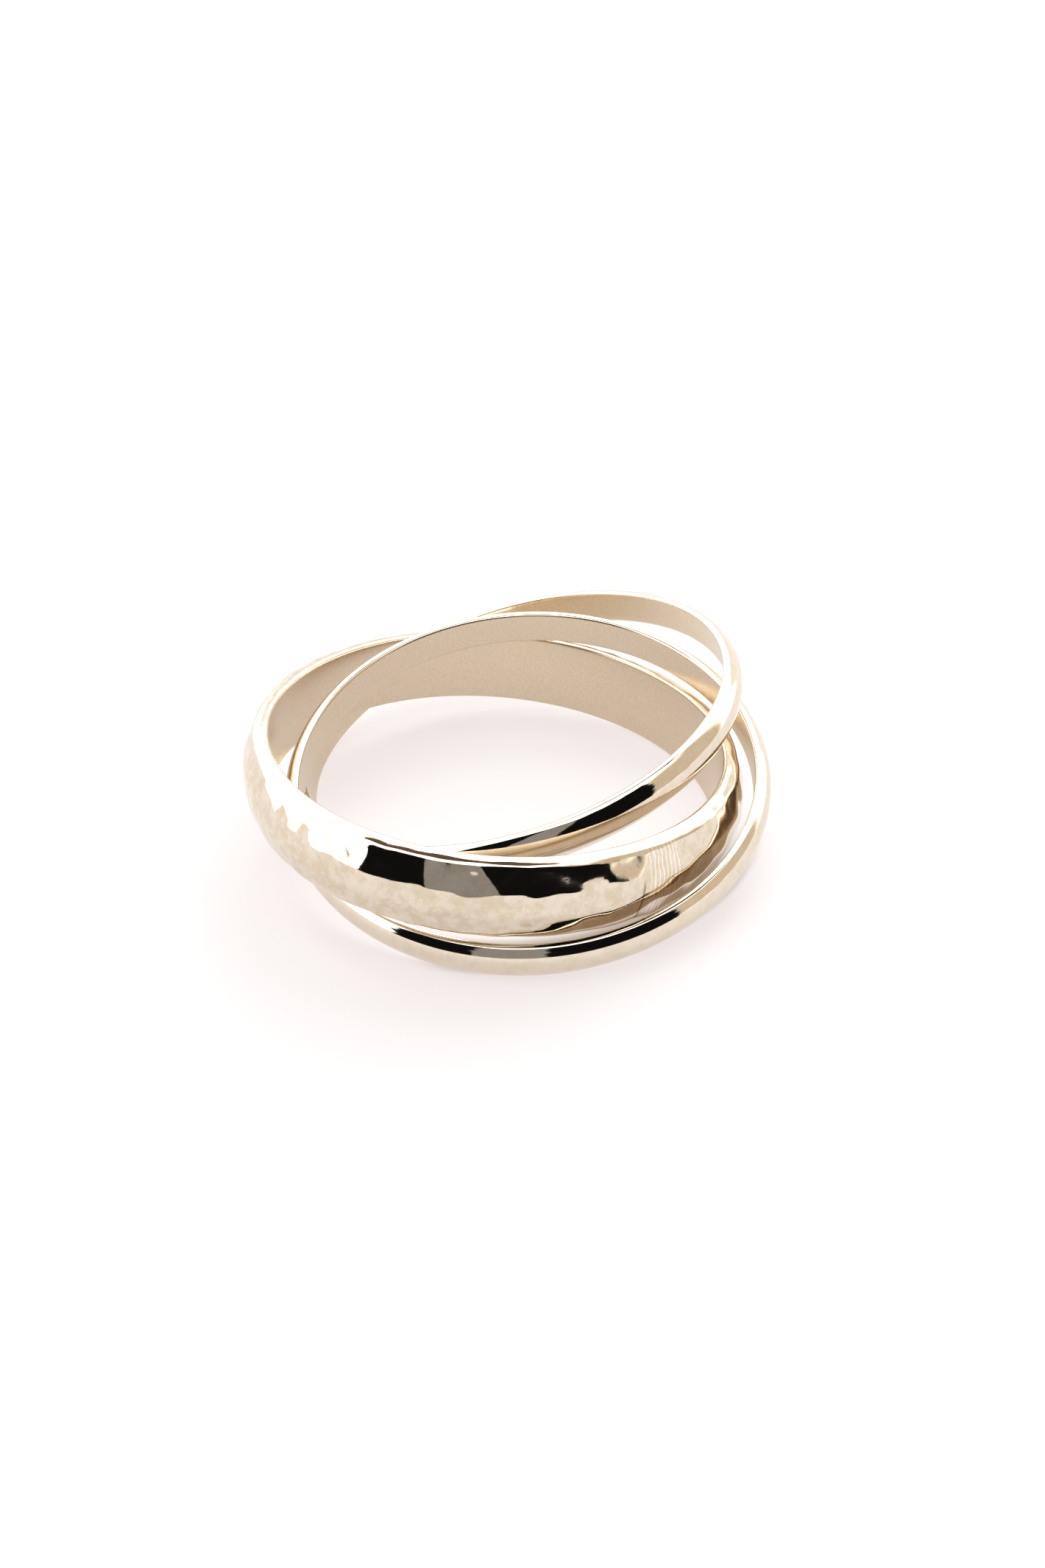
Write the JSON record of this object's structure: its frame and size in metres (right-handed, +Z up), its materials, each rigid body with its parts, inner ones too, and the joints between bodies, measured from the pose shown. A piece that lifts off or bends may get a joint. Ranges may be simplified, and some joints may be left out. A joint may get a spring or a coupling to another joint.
{
  "type": "rolling ring",
  "caption": "Rolling ring of interlinked silver bands: a wide hammered band and narrow polished ones, fanned open.",
  "frame": {"origin": "on the table, under the middle of the ring's box as it lies", "axes": "+Z up from the table, +X to the right and +Y away from the viewer of the picture"},
  "size_m": [0.021, 0.0228, 0.006],
  "materials": {
    "hammered_silver": "sterling silver, hammered outside and polished, satin inside",
    "polished_silver": "sterling silver, high polish outside, satin inside"
  },
  "bodies": {
    "hammered_band": {"hammered_band": "hammered_silver"},
    "front_plain_band": {"front_plain_band": "polished_silver"},
    "rear_plain_band": {"rear_plain_band": "polished_silver"}
  },
  "joints": [
    {"name": "front_band_roll", "type": "hinge", "parent": "hammered_band", "child": "front_plain_band", "pos_m": [0.00081, -0.00197, 0.00274], "axis": [-0.0121, -0.2161, 0.9763], "continuous": true},
    {"name": "rear_band_roll", "type": "hinge", "parent": "hammered_band", "child": "rear_plain_band", "pos_m": [0.00039, 0.00177, 0.00301], "axis": [-0.247, -0.0039, 0.969], "continuous": true}
  ]
}
